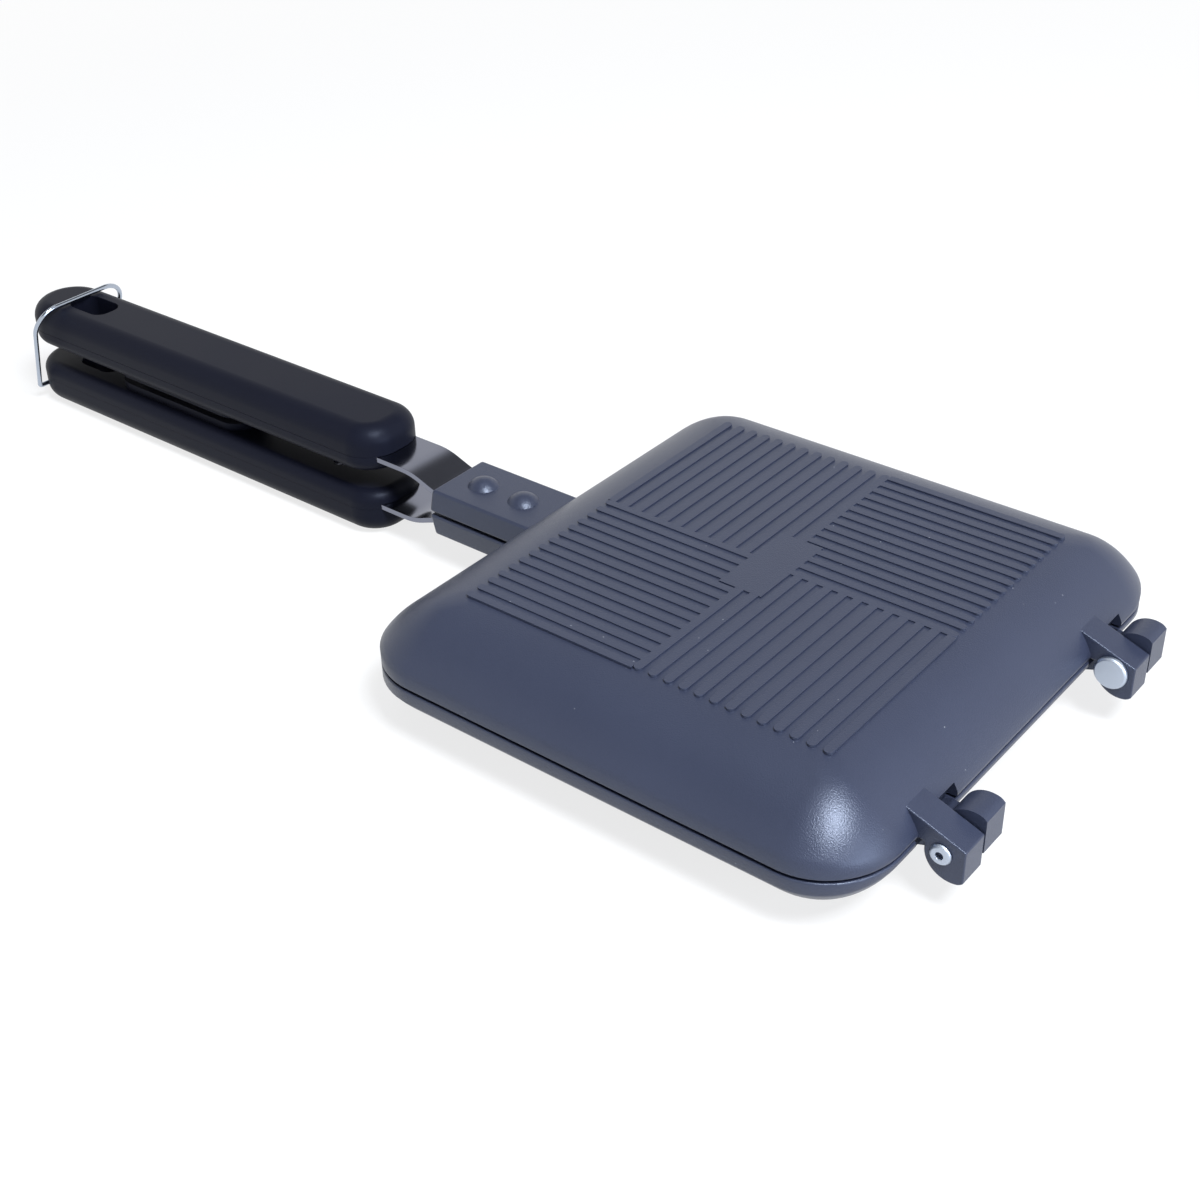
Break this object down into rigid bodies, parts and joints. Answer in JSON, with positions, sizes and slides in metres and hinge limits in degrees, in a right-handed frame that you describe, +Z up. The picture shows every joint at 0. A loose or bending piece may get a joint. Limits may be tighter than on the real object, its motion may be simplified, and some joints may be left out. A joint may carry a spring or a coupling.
{
  "type": "pie iron",
  "caption": "Square cast sandwich iron: ribbed pans hinged at the front, strap handles in moulded grips, and a wire bail that holds the grips shut.",
  "frame": {"origin": "middle of the flat ribbed face that the lower pan stands on", "axes": "+Z up through both pans, +X towards the hinges, handles towards -X, +Y across the handle"},
  "size_m": [0.3902, 0.1606, 0.0383],
  "materials": {
    "pan_coat": "dark satin non-stick coat with fine orange peel",
    "strap_steel": "polished strip, fine lines along the handle",
    "hinge_zinc": "zinc plated, satin",
    "grip_moulding": "fine matt moulding",
    "screw_steel": "zinc plated",
    "bail_wire": "bright drawn wire"
  },
  "bodies": {
    "lower": {"lower_pan": "pan_coat", "lower_strap": "strap_steel", "lower_front_rivet": "pan_coat", "lower_rear_rivet": "pan_coat", "near_hinge_rivet": "hinge_zinc", "far_hinge_rivet": "hinge_zinc", "lower_grip": "grip_moulding", "lower_grip_cover": "grip_moulding", "lower_front_screw": "screw_steel", "lower_rear_screw": "screw_steel"},
    "upper": {"upper_pan": "pan_coat", "upper_strap": "strap_steel", "upper_front_rivet": "pan_coat", "upper_rear_rivet": "pan_coat", "upper_grip": "grip_moulding", "upper_grip_cover": "grip_moulding", "upper_front_screw": "screw_steel", "upper_rear_screw": "screw_steel"},
    "bail": {"wire_bail": "bail_wire"}
  },
  "joints": [
    {"name": "lid_hinge", "type": "hinge", "parent": "lower", "child": "upper", "pos_m": [0.0811, 0, 0.01725], "axis": [0, 1, 0], "range_deg": [0, 178]},
    {"name": "bail_pivot", "type": "hinge", "parent": "lower", "child": "bail", "pos_m": [-0.2981, 0, 0.00525], "axis": [0, -1, 0], "range_deg": [0, 240]}
  ]
}
